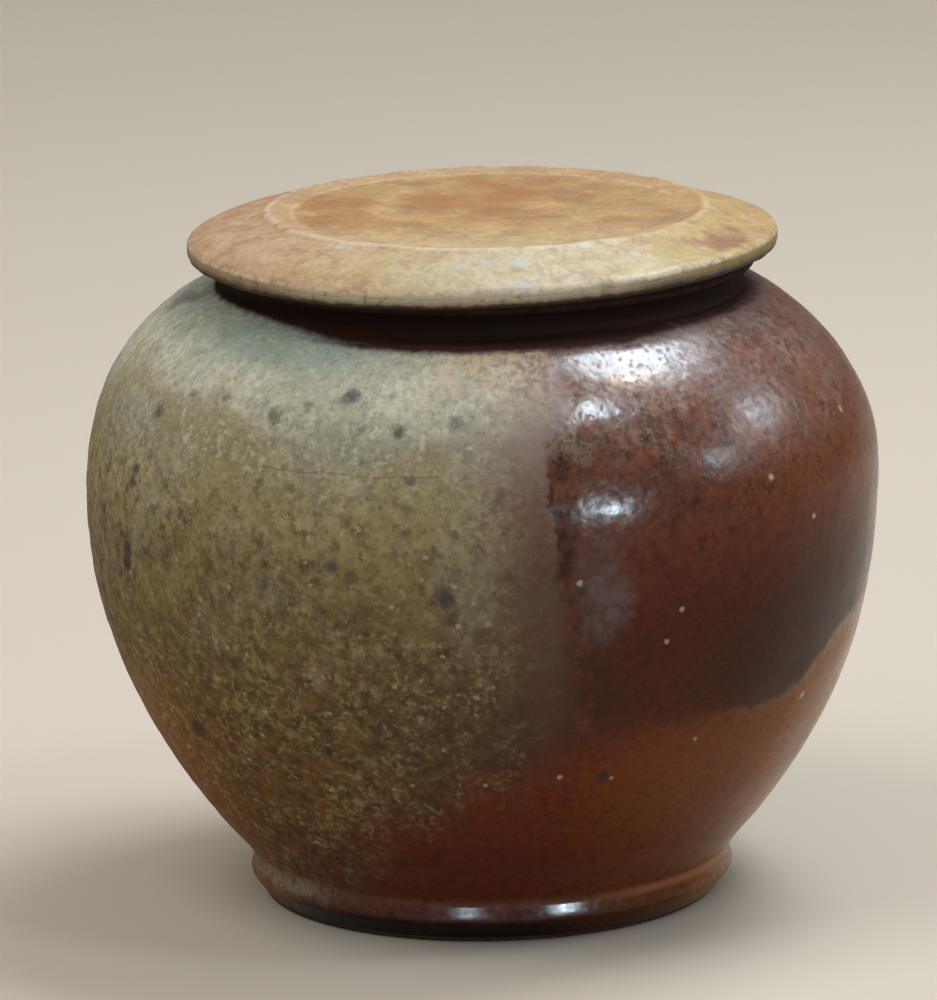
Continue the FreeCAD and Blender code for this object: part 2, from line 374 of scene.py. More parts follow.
class Glaze:
    """A material, with one short call for each step that the glazes use."""

    def __init__(self, name):
        self.material = bpy.data.materials.new(name)
        self.material.use_nodes = True
        self.tree = self.material.node_tree
        self.shader = self.tree.nodes["Principled BSDF"]
        self.place = self.add("ShaderNodeTexCoord").outputs["Object"]
        split = self.add("ShaderNodeSeparateXYZ", Vector=self.place)
        self.x, self.y, self.z = split.outputs
        self.height = self.maths("MULTIPLY", self.z, 1 / MM)
        angle = self.maths("ARCTAN2", self.x, self.maths("MULTIPLY", self.y, -1))
        self.turn = self.maths("DEGREES", angle)
        flat = self.add("ShaderNodeCombineXYZ", X=self.x, Y=self.y).outputs["Vector"]
        length = self.add("ShaderNodeVectorMath", {"operation": "LENGTH"}, Vector=flat)
        self.radius = self.maths("MULTIPLY", length.outputs["Value"], 1 / MM)

    def add(self, kind, settings=None, **inputs):
        node = self.tree.nodes.new(kind)
        for key, value in (settings or {}).items():
            setattr(node, key, value)
        for key, value in inputs.items():
            self.fill(node.inputs[key.replace("_", " ")], value)
        return node

    def fill(self, socket, value):
        if isinstance(value, bpy.types.NodeSocket):
            self.tree.links.new(value, socket)
        else:
            socket.default_value = value

    def maths(self, operation, *values):
        node = self.add("ShaderNodeMath", {"operation": operation})
        for socket, value in zip(node.inputs, values):
            self.fill(socket, value)
        return node.outputs[0]

    def all(self, share, *more):
        """The product of several shares."""
        for other in more:
            share = self.maths("MULTIPLY", share, other)
        return share

    def plus(self, first, second):
        return self.maths("ADD", first, second)

    def pushed(self, value, push, factor):
        """A value pushed up or down by a factor times another."""
        return self.maths("MULTIPLY_ADD", push, factor, value)

    def band(self, value, low, high, to_low=0.0, to_high=1.0):
        """A smooth change from to_low to to_high, as value goes from low to high or down to it."""
        node = self.add("ShaderNodeMapRange", {"interpolation_type": "SMOOTHSTEP"}, Value=value)
        for key, number in (("From Min", low), ("From Max", high), ("To Min", to_low), ("To Max", to_high)):
            self.fill(node.inputs[key], number)
        return node.outputs["Result"]

    def noise(self, size, detail=2.0, roughness=0.5, where=None, shift=0.0):
        """Cloudy noise between 0 and 1. Size is that of one cloud, in mm."""
        node = self.add(
            "ShaderNodeTexNoise", {"noise_dimensions": "4D"}, Vector=where or self.place,
            Scale=1 / (size * MM), Detail=detail, Roughness=roughness, W=shift,
        )
        return node.outputs["Fac"]

    def specks(self, size, share, reach, where=None):
        """Specks on a share of the points scattered size mm apart. Reach is their radius over size."""
        node = self.add("ShaderNodeTexVoronoi", Vector=where or self.place, Scale=1 / (size * MM))
        pick = self.add("ShaderNodeSeparateColor", Color=node.outputs["Color"]).outputs[0]
        near = self.band(node.outputs["Distance"], reach, 0.5 * reach)
        return self.maths("MULTIPLY", near, self.maths("LESS_THAN", pick, share))

    def mix(self, share, first, second):
        """The first colour where the share is 0, the second where it is 1."""
        node = self.add("ShaderNodeMix", {"data_type": "RGBA"})
        self.fill(node.inputs["Factor"], share)
        self.fill(node.inputs[6], first)
        self.fill(node.inputs[7], second)
        return node.outputs[2]

    def laid(self, colour, tint, *shares):
        """The colour with a tint, 0 to 255, laid over it, as strong as the product of the shares."""
        return self.mix(self.all(*shares), colour, srgb(*tint))

    def blend(self, share, first, second):
        """Like mix, but of two numbers."""
        node = self.add("ShaderNodeMix", {"data_type": "FLOAT"})
        self.fill(node.inputs[0], share)
        self.fill(node.inputs[2], first)
        self.fill(node.inputs[3], second)
        return node.outputs[0]

    def tone(self, colour, factor):
        """A colour made lighter or darker by a factor."""
        node = self.add("ShaderNodeVectorMath", {"operation": "SCALE"}, Scale=factor)
        self.fill(node.inputs[0], colour)
        return node.outputs[0]

    def varied(self, colour, pattern, low, high, darkest, palest):
        """A colour toned by a factor from darkest, where a pattern is low, to palest."""
        return self.tone(colour, self.band(pattern, low, high, darkest, palest))

    def ramp(self, value, stops):
        """Colours by position, from a list of (value, colour). The values may be in any unit."""
        low = stops[0][0]
        high = stops[-1][0]
        share = self.add("ShaderNodeMapRange", Value=value, From_Min=low, From_Max=high)
        node = self.add("ShaderNodeValToRGB", Fac=share.outputs["Result"])
        elements = node.color_ramp.elements
        while len(elements) < len(stops):
            elements.new(0.5)
        for element, (position, colour) in zip(elements, stops):
            element.position = (position - low) / (high - low)
            element.color = colour
        return node.outputs["Color"]

    def graph(self, value, pairs):
        """Like ramp, but with plain numbers, from a list of (value, number)."""
        return self.ramp(value, [(position, (number, number, number, 1)) for position, number in pairs])

    def spot(self, centre, size, where):
        """1 in the middle of a round spot, and 0 outside its size in mm."""
        node = self.add("ShaderNodeVectorMath", {"operation": "DISTANCE"})
        self.fill(node.inputs[0], where)
        node.inputs[1].default_value = centre
        return self.band(node.outputs["Value"], size * MM, 0.25 * size * MM)

    def stirred(self, size, reach):
        """The place on the object, shifted by up to about reach in mm, which makes round spots ragged."""
        clouds = self.add("ShaderNodeTexNoise", Vector=self.place, Scale=1 / (size * MM), Detail=2.0)
        shift = self.add("ShaderNodeVectorMath", {"operation": "MULTIPLY_ADD"})
        self.fill(shift.inputs[0], clouds.outputs["Color"])
        shift.inputs[1].default_value = (2 * reach * MM,) * 3
        shift.inputs[2].default_value = (-reach * MM,) * 3
        total = self.add("ShaderNodeVectorMath", {"operation": "ADD"})
        self.fill(total.inputs[0], self.place)
        self.fill(total.inputs[1], shift.outputs[0])
        return total.outputs[0]

    def spotted(self, colour, spots, tint, place_of, where):
        """The colour with each spot of a list laid over it: turn, height or radius, size and depth."""
        for turn, level, size, depth in spots:
            share = self.spot(place_of(turn, level), size, where)
            colour = self.mix(self.all(share, depth), colour, tint)
        return colour

    def skin(self, ragged):
        """The skin that each point carries, with the borders between its kinds made ragged."""
        kind = self.add("ShaderNodeAttribute", {"attribute_name": SKIN}).outputs["Fac"]
        return self.plus(kind, self.maths("MULTIPLY", ragged, 0.7))

    def bump(self, height, distance, strength, normal=None):
        """A normal that shows a relief as high as distance, in mm. Normal is one that it is added to."""
        node = self.add("ShaderNodeBump", Height=height, Strength=strength)
        node.inputs["Distance"].default_value = distance * MM
        if normal is not None:
            self.fill(node.inputs["Normal"], normal)
        return node.outputs["Normal"]


# %% [markdown]
# ## Where the ash lies
# Wood ash rides on the flame and settles on the side that faces the firebox, here the left. It melts
# into a grainy crust that stops along a nearly upright line just right of the front, and it runs out
# above the foot along a slanting one. The crust is both a relief and a colour, so its borders are plain
# numbers that the mesh and the nodes both read.

# %% Where the ash lies
ASH_LIMITS = [                   # height in mm, and the turn in degrees where the ash stops
    (0, 17.0), (48, 13.2), (64, 12.0), (78, 11.0), (96, 9.8), (109, 8.8), (121, 9.2), (126, 12.2),
    (150, 11.5),
]
ASH_TURN = 10                    # the limits are counted from this turn
ONE_DEGREE = math.radians(1)
ASH_SIDE, ASH_FRONT = 0.990, 0.139           # the ash came from the left, and a little from the front
ASH_REACH = 0.035                # how far past a quarter turn from there it reaches, in radians
ASH_FOOT = 39.0                  # height in mm where it runs out in front
ASH_FOOT_SLOPE = 43.0            # and how much higher it does so on the right side
NEAR_AXIS = 0.001                # metres: the least radius that is divided by


def stepped(pairs, value):
    """Straight lines between pairs of numbers."""
    for (low, first), (high, last) in zip(pairs, pairs[1:]):
        if value <= high:
            return first + (last - first) * max(0, value - low) / (high - low)
    return pairs[-1][1]


def ash_cover(place):
    """1 where the ash crust lies and 0 on the bare brown glaze, for a point in metres."""
    height = place.z / MM
    radius = max(NEAR_AXIS, place.xy.length)
    side = -(ASH_SIDE * place.x + ASH_FRONT * place.y) / radius
    reach = side + ASH_REACH + math.radians(stepped(ASH_LIMITS, height) - ASH_TURN)
    foot = ASH_FOOT + ASH_FOOT_SLOPE * place.x / radius
    return between(reach, -0.01, 0.03) * between(height - foot, -4, 8)


print(f"at the belly the ash stops {stepped(ASH_LIMITS, BELLY_HEIGHT):.1f} degrees right of the front")

# %% [markdown]
# ## The surface of a thrown pot
# Fingers leave faint rings, drying and firing leave the wall swollen here and leaning there and a little
# out of round, and ash and glaze lie on it in their own thickness. These are real changes of shape, so
# the points are moved, not just shaded. Only the skin moves: the lip, the mouth and the standing ring
# stay true, so the lid fits and the pot stands flat.

# %% Relief of the pot
from mathutils import noise

LEAN = [                         # height in mm, and how far the wall there stands to the right
    (0, 0.25), (20, 0.2), (60, -0.25), (74, -0.75), (90, -0.45), (103, -0.12), (110, -0.25), (116, -0.5),
    (122, -0.85), (137, -1.5), (139.5, -1.2), (142, 0), (160, 0),
]
SWELL = [                        # height in mm, and how far the wall there swells out
    (14, 0), (20, 0.5), (30, 0.6), (62, 0.35), (74, 0.1), (92, 0.1), (104, 0.45), (118, 0.55),
    (126, 0.65), (136, 0.9), (138.2, 0.85), (140, 0),
]
RING_PITCH, RING_RELIEF, INNER_RING_RELIEF = 9.0, 0.10, 0.12     # all of these in mm
WAVE_PITCH, WAVE_RELIEF = 17, 0.22
RIPPLE_PITCH, RIPPLE_RELIEF = 6.5, 0.06
CRUST_GRAIN, CRUST_RELIEF = 3.2, 0.16
OUT_OF_ROUND, WIDEST_TURN = 0.30, 35
DROP_LINE = [                    # turn in degrees, and the height in mm where the thick brown glaze ends
    (-180, 50), (0, 50), (17, 53), (40, 56), (50, 55.4), (56, 58.4), (60, 63), (66, 68), (80, 71),
    (105, 64), (135, 52), (180, 50),
]
DROP_STEP = 0.22                 # how much thicker the glaze is above that line
KNOB = Vector((-20.8, -59.6, 139.2)) * MM    # one raised knob beside the neck
KNOB_HEIGHT, KNOB_RADIUS = 0.7, 2.4
LEAST_RELIEF = 0.15              # the share of the relief that foot and neck keep


def pot_relief(place, skin):
    """How far a point of the pot moves outwards, in mm."""
    height = place.z / MM
    turn = turn_of(place)
    if skin < 0:
        rings = noise.noise(Vector((0, 0, height / RING_PITCH)))
        return INNER_RING_RELIEF * rings * between(height, 12, 25)
    ash = ash_cover(place)
    rings = noise.noise(Vector((0.3 * math.sin(math.radians(turn)), 4.1, height / RING_PITCH)))
    waves = noise.noise(place / (WAVE_PITCH * MM)) * WAVE_RELIEF
    waves += noise.noise(place / (RIPPLE_PITCH * MM)) * RIPPLE_RELIEF
    grain = noise.noise(place / (CRUST_GRAIN * MM)) * CRUST_RELIEF * ash
    above_drop = height + 1.5 * noise.noise(place / (7 * MM)) - stepped(DROP_LINE, turn)
    drop = DROP_STEP * between(above_drop, -1, 1) * between(turn, 30, 45) * between(turn, 90, 66)
    drop *= 1 - ash
    oval = OUT_OF_ROUND * math.cos(2 * math.radians(turn - WIDEST_TURN)) * between(height, 15, 60)
    calm = between(height, 9, 16) * between(height, 143, 138)
    move = (RING_RELIEF * rings + waves + grain + drop + oval) * max(calm, LEAST_RELIEF)
    knob = KNOB_HEIGHT * between((place - KNOB).length / MM, KNOB_RADIUS, 0.3)
    return (move + knob + stepped(SWELL, height)) * skin


pot_shape = turned(pot_line, 20, 21)
pot_skin = pot_shape.verts.layers.float[SKIN]
for vertex in pot_shape.verts:
    place = vertex.co.copy()
    skin = vertex[pot_skin]
    vertex.co += vertex.normal * pot_relief(place, skin) * MM
    vertex.co.x += stepped(LEAN, place.z / MM) * MM * max(0, skin)
print("the pot's surface is moved at", len(pot_shape.verts), "points")

# %% [markdown]
# ## The surface of the lid
# The lid was trimmed a little off centre, so its ridge stands to the right of the brim's middle. The
# ridge is crisp where the tool left it and chattered at the back, where the tool jumped. The brim has
# warped in the fire, up on the right and down at the front left, and lost a chip at the front right. The
# seat stays flat.

# %% Relief of the lid
BRIM_RISE = [                    # turn in degrees, and how far the brim's edge rises there, in mm
    (-180, -0.35), (-125, -0.7), (-90, -0.66), (-66, -0.55), (-51, -0.95), (-30, -1.2), (-5, -0.8),
    (19, -0.15), (37, 0.33), (47, 0.72), (61, 0.95), (90, 0.66), (130, 0.3), (180, -0.35),
]
BRIM_START = 61.5                # radius where the warp starts
CHATTER_PITCH, CHATTER_DEPTH = 2.1, 0.38
CHIP_TURN, CHIP_WIDTH, CHIP_DEPTH = 24.0, 2.6, 0.9
LID_SIDE = 0.5                   # how far the lid lies to the right, in mm
RIDGE_SIDE = 1.2                 # and how much further its ridge does


def lid_relief(place, skin):
    """The move of a point of the lid in mm, outwards from the axis and upwards."""
    if skin <= 0:
        return 0, 0
    radius = place.xy.length / MM
    height = place.z / MM
    turn = turn_of(place)
    angle = math.radians(turn)
    circle = Vector((math.sin(angle), math.cos(angle), 0))
    edge = between(radius, BRIM_START, LID_RADIUS)
    rise = stepped(BRIM_RISE, turn) * edge
    rise += (0.16 * noise.noise(circle * 5.5) + 0.08 * noise.noise(circle * 19)) * edge
    out = (0.30 * noise.noise(circle * 4 + Vector((0, 0, 3))) + 0.10 * noise.noise(circle * 22)) * edge
    chip = between(abs(turn - CHIP_TURN) * ONE_DEGREE * radius, CHIP_WIDTH, 0)
    out -= CHIP_DEPTH * chip * between(radius, 65, LID_RADIUS) * between(height, 152.3, 150.2)

    # The ridge: chatter marks at the back, and an uneven height all round
    back = between(abs(turn), 75, 105) if turn < 0 else between(turn, 150, 172)
    mark = (turn * ONE_DEGREE * CREST_RADIUS / CHATTER_PITCH) % 1
    crest = between(abs(radius - CREST_RADIUS - 0.2), 2.0, 0.3)
    wave = 0.5 + 0.5 * math.cos(math.tau * mark)
    depth = 0.6 + 0.6 * noise.noise(circle * 9)
    rise -= CHATTER_DEPTH * back * crest * wave * depth
    rise += 0.30 * crest * noise.noise(circle * 7 + Vector((2, 0, 0)))

    # The dish: throwing rings, broad waves, and the grain that covers the whole lid
    dish = between(radius, 44, 40) * between(radius, 2, 8)
    rise += 0.12 * dish * noise.noise(Vector((0.2 * math.sin(angle), radius / 5.5, 1.0)))
    grain = 0.10 * noise.noise(place / (5 * MM))
    rise += grain + 0.16 * noise.noise(place / (16 * MM)) * between(radius, 52, 50)
    return out, rise


lid_shape = turned(lid_line, 32, 20)
lid_skin = lid_shape.verts.layers.float[SKIN]
for vertex in lid_shape.verts:
    out, rise = lid_relief(vertex.co, vertex[lid_skin])
    outward = vertex.co.xy.normalized() * out
    vertex.co += Vector((outward.x, outward.y, rise)) * MM
    off_centre = LID_SIDE + RIDGE_SIDE * between(vertex.co.xy.length / MM, 62, 52)
    vertex.co.x += off_centre * MM * max(0, vertex[lid_skin])
print("the lid's surface is moved at", len(lid_shape.verts), "points")

# %% [markdown]
# ## The pot's glaze
# One glaze was poured over the whole pot, an iron brown that breaks to rust where it is thin. The ash
# lies over it as an olive crust, with a dark ragged seam where the two meet. Iron grains in the clay
# burst through both as dark spots. The large ones are the face of this pot, so each has its own place in
# a list: its turn, its height, its size and the depth of its colour. The small ones come from noise,
# further down.

# %% Places and spots on the pot
def glazed_part(outline, lowest=0):
    """The radius and height in mm of the glazed points of an outline, above a lowest height."""
    places = []
    for point, kind in zip(outline.points, outline.skins):
        if kind == GLAZED and point.z / MM > lowest:
            places.append((point.x / MM, point.z / MM))
    return places


def wall_place(turn, radius, height):
    """The point at a turn in degrees, a radius and a height in mm."""
    angle = math.radians(turn)
    return Vector((radius * math.sin(angle), -radius * math.cos(angle), height)) * MM


POT_WALL = sorted((height, radius) for radius, height in glazed_part(pot_line))


def on_pot(turn, height):
    """The point on the pot's wall at a turn in degrees and a height in mm."""
    radius = stepped(POT_WALL, height) + stepped(SWELL, height)
    return wall_place(turn, radius, height)


IRON_SPOTS = [                   # turn in degrees, height and size in mm, depth of colour
    (-87, 138, 8, 0.5), (-58.8, 121.3, 2.6, 0.8), (-52, 125.7, 2.2, 0.6), (-44.8, 126.9, 1.8, 0.5),
    (-34.2, 124.9, 3.0, 0.7), (-28.8, 127.3, 2.0, 0.5), (-21.8, 129.7, 3.2, 0.9), (-19, 123.6, 2.0, 0.5),
    (-13, 123.6, 2.2, 0.9), (-4.2, 125.3, 2.6, 0.6), (-60.5, 108.5, 2.2, 0.9), (-60.8, 105.5, 2.0, 0.8),
    (-54.8, 101.1, 1.8, 0.6), (-51.2, 100.4, 1.6, 0.6), (-70.8, 96.4, 2.2, 0.7), (-62.3, 89.8, 3.0, 1.0),
    (-62.8, 86.5, 2.8, 1.0), (-34, 111.4, 1.6, 0.6), (-18, 117.2, 1.6, 0.5), (-10.8, 113.8, 1.7, 0.7),
    (-22, 94.6, 2.2, 0.8), (-5.8, 88.5, 3.4, 0.9), (-5, 83.5, 2.0, 0.5), (-53.2, 49.6, 3.8, 0.7),
    (-48, 54.6, 2.4, 0.6), (-17, 57, 2.6, 0.6), (-26.5, 49.6, 2.6, 0.5), (-22.2, 46.1, 2.0, 0.5),
    (18.5, 44, 2.4, 0.8),
]
PALE_SPECKS = [
    (44.8, 108.2, 1.3, 1.0), (53.5, 97.2, 1.0, 0.9), (13, 90.9, 1.1, 0.9), (28.5, 82.5, 0.9, 0.7),
    (26.3, 75.4, 0.9, 0.7), (68, 116.7, 1.1, 1.0), (58, 53.9, 1.4, 0.8), (11.2, 44.7, 0.9, 0.7),
    (20, 43.3, 0.8, 0.6), (34, 50.3, 0.8, 0.6), (-0.8, 43.3, 0.8, 0.6), (-43, 119, 1.6, 0.7),
]
# Painted reflection: grey sheen patches on the belly, laid as colour
SHEEN_SPOTS = [(15.5, 94, 9, 0.35), (17, 86, 10, 0.5), (15.5, 79, 7, 0.25)]
print(len(IRON_SPOTS), "iron spots and", len(PALE_SPECKS), "pale specks")

# %% [markdown]
# ### Where crust and glaze meet
# The sums that gave the mesh its crust come again as nodes, now with noise added, so that the border is
# ragged. Reach says how far inside the crust a place is, as a share of the radius, and it is below 0
# outside. It also places the dark seam, just outside the crust, and the pinkish blush just inside. Upper
# is 1 on the shoulder and 0 below it, for whatever differs between the two.

# %% Masks of crust, seam and blush
pot_glaze = Glaze("ash over iron brown glaze")
g = pot_glaze
cloud = g.maths("SUBTRACT", g.noise(11, 3.0), 0.5)
ragged = g.maths("SUBTRACT", g.noise(2.6, 3.0, shift=3), 0.5)
limit = g.graph(g.height, ASH_LIMITS)
radius = g.maths("MAXIMUM", g.maths("MULTIPLY", g.radius, MM), NEAR_AXIS)
side_x = g.maths("DIVIDE", g.x, radius)
side_y = g.maths("DIVIDE", g.y, radius)
facing = g.plus(g.maths("MULTIPLY", side_x, -ASH_SIDE), g.maths("MULTIPLY", side_y, -ASH_FRONT))
reach = g.plus(facing, g.maths("MULTIPLY", g.maths("SUBTRACT", limit, ASH_TURN), ONE_DEGREE))
reach = g.plus(reach, ASH_REACH)
reach = g.plus(reach, g.maths("MULTIPLY", ragged, 0.07))
foot_line = g.plus(g.maths("MULTIPLY", side_x, ASH_FOOT_SLOPE), ASH_FOOT)
above = g.maths("SUBTRACT", g.height, foot_line)
above = g.plus(above, g.maths("MULTIPLY", cloud, 22))
above = g.plus(above, g.maths("MULTIPLY", ragged, 10))
soft = g.plus(g.band(g.height, 98, 66, 0.0, 0.055), g.band(g.height, 116, 128, 0.0, 0.03))
start = g.maths("SUBTRACT", -0.012, soft)
edge = g.maths("DIVIDE", g.maths("SUBTRACT", reach, start), g.pushed(0.03, soft, 2.0))
ash = g.all(g.band(edge, 0, 1), g.band(above, -8, 14))
seam = g.all(g.band(reach, -0.075, -0.03), g.band(reach, 0.005, -0.01))
seam = g.all(seam, g.band(g.height, 86, 98), g.band(g.height, 124, 118))
upper = g.band(g.height, 104, 122)
blush = g.all(g.band(reach, g.blend(upper, 0.24, 0.36), 0.0), g.band(g.height, 40, 60))
print("the masks take", len(g.tree.nodes), "nodes")

# %% [markdown]
# ### The ash crust
# The crust is pale on the shoulder, where most ash fell, olive on the belly and brown towards the foot,
# so its colour starts as a ramp by height. Drifts, smoke, a glassy pool beside the neck and the blush
# vary it in patches some centimetres wide, and a warm glow low on the left is painted light, thrown up
# by a warm floor.

# %% Patches of the crust
ash_colour = g.ramp(g.height, [
    (7, srgb(112, 88, 66)), (14, srgb(84, 49, 22)), (30, srgb(98, 63, 29)), (50, srgb(102, 75, 38)),
    (70, srgb(104, 82, 46)), (86, srgb(108, 92, 59)), (95, srgb(120, 106, 72)),
    (103, srgb(143, 131, 98)), (111, srgb(150, 141, 110)), (120, srgb(156, 151, 126)),
    (126, srgb(180, 176, 154)), (133, srgb(198, 196, 176)), (138, srgb(168, 172, 158)),
])
mottle = g.noise(1.5, 3.0, 0.65, shift=1)
blotch = g.noise(3.6, 3.0, 0.6, shift=5)
patchy = g.noise(2.7, 1.5, 0.5, shift=36)
darkest, palest = g.blend(upper, 0.70, 0.80), g.blend(upper, 1.34, 1.2)
ash_colour = g.varied(ash_colour, mottle, 0.3, 0.7, darkest, palest)
darkest, palest = g.blend(upper, 0.84, 0.93), g.blend(upper, 1.16, 1.07)
ash_colour = g.varied(ash_colour, patchy, 0.32, 0.68, darkest, palest)
ash_colour = g.laid(ash_colour, (64, 47, 28), g.band(blotch, 0.51, 0.31), g.blend(upper, 0.7, 0.2))
ash_colour = g.laid(ash_colour, (148, 142, 104), g.band(blotch, 0.53, 0.70), g.blend(upper, 0.5, 0.18))
drift = g.noise(16, 2.0, shift=31)
yellow_drift = g.all(g.band(drift, 0.48, 0.62), g.band(g.height, 60, 84), 0.4)
grey_drift = g.all(g.band(drift, 0.50, 0.38), g.band(g.height, 60, 84), g.blend(upper, 0.25, 0.35))
ash_colour = g.laid(ash_colour, (134, 120, 72), yellow_drift)
ash_colour = g.laid(ash_colour, (142, 142, 118), grey_drift)
smoke = g.all(g.band(g.turn, -34, 8), g.band(g.height, 98, 48))
ash_colour = g.laid(ash_colour, (62, 40, 25), smoke, 0.7)
# Painted light: a warm glow low on the left, the light that a warm floor throws up
painted_floor_glow = g.all(g.band(g.turn, -38, -75), g.band(g.height, 76, 46))
ash_colour = g.laid(ash_colour, (142, 92, 34), painted_floor_glow, 0.6)
glassy = g.all(g.band(g.turn, -66, -50), g.band(g.turn, -12, -34), g.band(g.height, 129, 137))
ash_colour = g.laid(ash_colour, (134, 156, 146), glassy, 0.6)

# Along the seam: the blush, smoke and dots of rust. Beside the neck, a painted highlight: warm glints in
# gold
blush_colour = g.ramp(g.height, [
    (50, srgb(66, 44, 30)), (64, srgb(74, 50, 35)), (80, srgb(104, 72, 56)), (108, srgb(106, 72, 56)),
    (126, srgb(134, 115, 108)),
])
ash_colour = g.mix(g.all(blush, g.band(reach, 0.16, 0.04, 0.8, 0.95)), ash_colour, blush_colour)
edge_smoke = g.all(g.band(reach, 0.19, 0.02), g.band(g.height, 106, 90), g.band(g.height, 40, 56))
ash_colour = g.laid(ash_colour, (76, 51, 38), edge_smoke, 0.5)
dots = g.band(g.noise(2.0, 3.0, 0.65, shift=34), 0.47, 0.62)
rust_dots = g.all(dots, g.band(reach, 0.17, 0.03), g.band(g.height, 122, 104))
ash_colour = g.laid(ash_colour, (96, 50, 32), rust_dots, g.band(g.height, 44, 58), 0.6)
warm_glint_height = g.pushed(g.height, ragged, 9)
painted_warm_glints = g.all(g.band(g.turn, -24, 1), g.band(warm_glint_height, 124, 137), g.band(mottle, 0.40, 0.62))
ash_colour = g.laid(ash_colour, (204, 176, 136), painted_warm_glints, 0.75)
print("with the patches there are", len(g.tree.nodes), "nodes")

# %% [markdown]
# ### The grain of the crust
# Seen close, the crust is like coarse sugar, with pale flecks in clusters, lone grits and dark pits.
# Noise between two close limits gives the flecks and the pits, and a Voronoi pattern the grits. All
# three fade towards the seam. One hairline crack runs level across the shoulder, at a height that noise
# shifts.

# %% Grain of the crust
clusters = g.band(g.noise(7, 2.0, shift=17), 0.38, 0.58)
inland = g.band(reach, 0.04, 0.26, 0.1, 1)
flecks = g.band(g.noise(1.6, 3.0, 0.6, shift=19), 0.48, 0.66)
flecks = g.all(flecks, clusters, inland, g.blend(upper, 0.6, 0.55))
ash_colour = g.mix(flecks, ash_colour, g.mix(upper, srgb(152, 138, 104), srgb(206, 206, 184)))
grits = g.specks(3.6, 0.35, 0.22, g.stirred(1.1, 0.9))
ash_colour = g.laid(ash_colour, (190, 182, 150), grits, inland, 0.42)
pits = g.band(g.noise(1.3, 2.0, 0.6, shift=33), 0.44, 0.33)
ash_colour = g.laid(ash_colour, (66, 52, 34), pits, inland, g.blend(upper, 0.4, 0.22))

CRACK_HEIGHT = 114.6
from_crack = g.maths("ABSOLUTE", g.maths("SUBTRACT", g.pushed(g.height, cloud, 3.0), CRACK_HEIGHT))
crack = g.all(g.band(mottle, 0.36, 0.52), g.band(from_crack, 0.32, 0.1))
crack = g.all(crack, g.band(g.turn, -44, -32), g.band(g.turn, -5, -9))
ash_colour = g.laid(ash_colour, (86, 62, 44), crack, 0.42)
print("with the grain there are", len(g.tree.nodes), "nodes")

# %% [markdown]
# ### The iron brown glaze
# The glaze ran while it was molten. It lies thick and dark above the drop line on the right, and thin
# and orange under it, where the orange also paints the reflection of a warm floor, most towards the right
# edge. On the shoulder it is burnt and pitted, with rust and a milky haze over it that is partly a
# painted sheen, and beside the crust it is darkened by a seam that in places breaks to rust.

# %% Colours of the brown glaze
# The two lowest stops are painted shade: the undercut under the foot band, which faces down, nearly black
brown_colour = g.ramp(g.height, [
    (2, srgb(22, 12, 9)), (5, srgb(34, 17, 12)), (6.4, srgb(88, 52, 42)), (9, srgb(106, 66, 52)),
    (12, srgb(90, 38, 16)), (22, srgb(82, 29, 6)), (44, srgb(98, 39, 5)), (54, srgb(90, 37, 10)),
    (62, srgb(74, 30, 12)), (80, srgb(82, 32, 15)), (98, srgb(98, 46, 24)), (110, srgb(112, 66, 42)),
    (122, srgb(120, 82, 62)), (130, srgb(122, 90, 76)), (138, srgb(108, 76, 66)),
])
wander = g.pushed(g.turn, cloud, 70)
drop_height = g.graph(g.turn, DROP_LINE)
above_drop = g.maths("SUBTRACT", g.pushed(g.height, ragged, 3.5), drop_height)
above_drop = g.plus(above_drop, g.maths("MULTIPLY", cloud, g.band(g.turn, 62, 84, 0, 22)))
above_drop = g.maths("DIVIDE", above_drop, g.band(g.turn, 44, 26, 0.7, 6))
# Below the drop line the glaze is thin and orange, and the orange also paints the reflection of a warm
# floor
thin_glaze_and_reflection = g.all(g.band(above_drop, 1, -1), g.band(g.turn, 8, 26), g.band(wander, 150, 95))
pool_of_glaze = g.all(g.band(g.turn, 6, 62), g.band(g.turn, 118, 88), g.band(g.height, 104, 74))
dark = g.all(pool_of_glaze, g.maths("SUBTRACT", 1.0, thin_glaze_and_reflection), g.band(g.height, 44, 56))
# Painted reflection: the right flank is painted a brighter orange, a warm floor mirrored near the pot's
# edge
flank_reflection = g.all(g.band(g.turn, 44, 72), g.band(wander, 104, 66), thin_glaze_and_reflection)
brown_colour = g.laid(brown_colour, (50, 21, 12), dark, 0.85)
brown_colour = g.laid(brown_colour, (114, 66, 10), thin_glaze_and_reflection, g.band(g.turn, 18, 60, 0.2, 0.6))
brown_colour = g.laid(brown_colour, (146, 94, 32), flank_reflection, 0.65)

# The shoulder: burnt, pitted and mottled
pitted = g.all(g.band(g.noise(1.4, 1.0, 0.4, shift=22), 0.47, 0.36), g.band(g.height, 100, 114))
pinholes = g.all(g.specks(1.7, 0.6, 0.26), g.band(g.height, 110, 124))
burnt = g.all(g.band(g.turn, 46, 28), g.band(g.height, 98, 108), g.band(g.height, 130, 120))
brown_colour = g.laid(brown_colour, (76, 52, 44), burnt, 0.6)
darkest, palest = g.blend(upper, 0.78, 0.74), g.blend(upper, 1.24, 1.28)
brown_colour = g.varied(brown_colour, mottle, 0.3, 0.7, darkest, palest)
brown_colour = g.laid(brown_colour, (58, 36, 27), pitted, 0.26)
brown_colour = g.laid(brown_colour, (52, 34, 28), pinholes, 0.28)
brown_colour = g.laid(brown_colour, (44, 20, 14), g.band(blotch, 0.46, 0.32), g.blend(thin_glaze_and_reflection, 0.5, 0.2))

